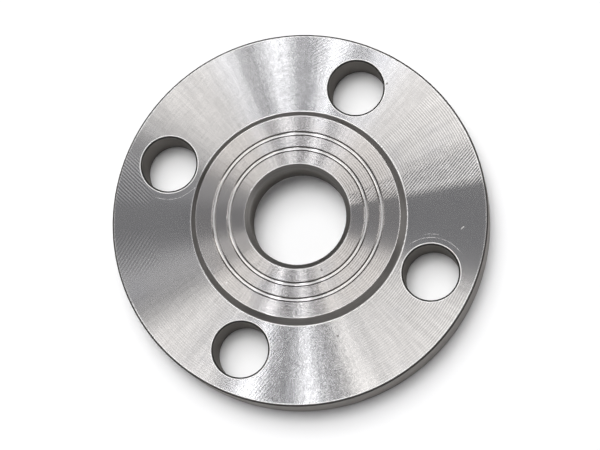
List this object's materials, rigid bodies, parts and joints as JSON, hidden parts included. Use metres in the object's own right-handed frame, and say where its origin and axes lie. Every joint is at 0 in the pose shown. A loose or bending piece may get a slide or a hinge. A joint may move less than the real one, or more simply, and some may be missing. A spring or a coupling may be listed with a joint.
{
  "type": "plate flange",
  "caption": "Round stainless plate flange with a raised, grooved gasket face, a bevelled bore for a welded pipe and chamfered bolt holes on a circle.",
  "frame": {"origin": "centre of the bore at the back face, the face that is welded to the pipe and lies on the bench", "axes": "+Z along the bore axis, from the back face towards the raised face; the bolt holes straddle the X and Y axes"},
  "size_m": [0.0986, 0.0986, 0.014],
  "materials": {
    "turned_steel": "stainless steel, face-turned, with fine concentric tool marks"
  },
  "bodies": {
    "root": {"plate_flange": "turned_steel"}
  },
  "joints": []
}
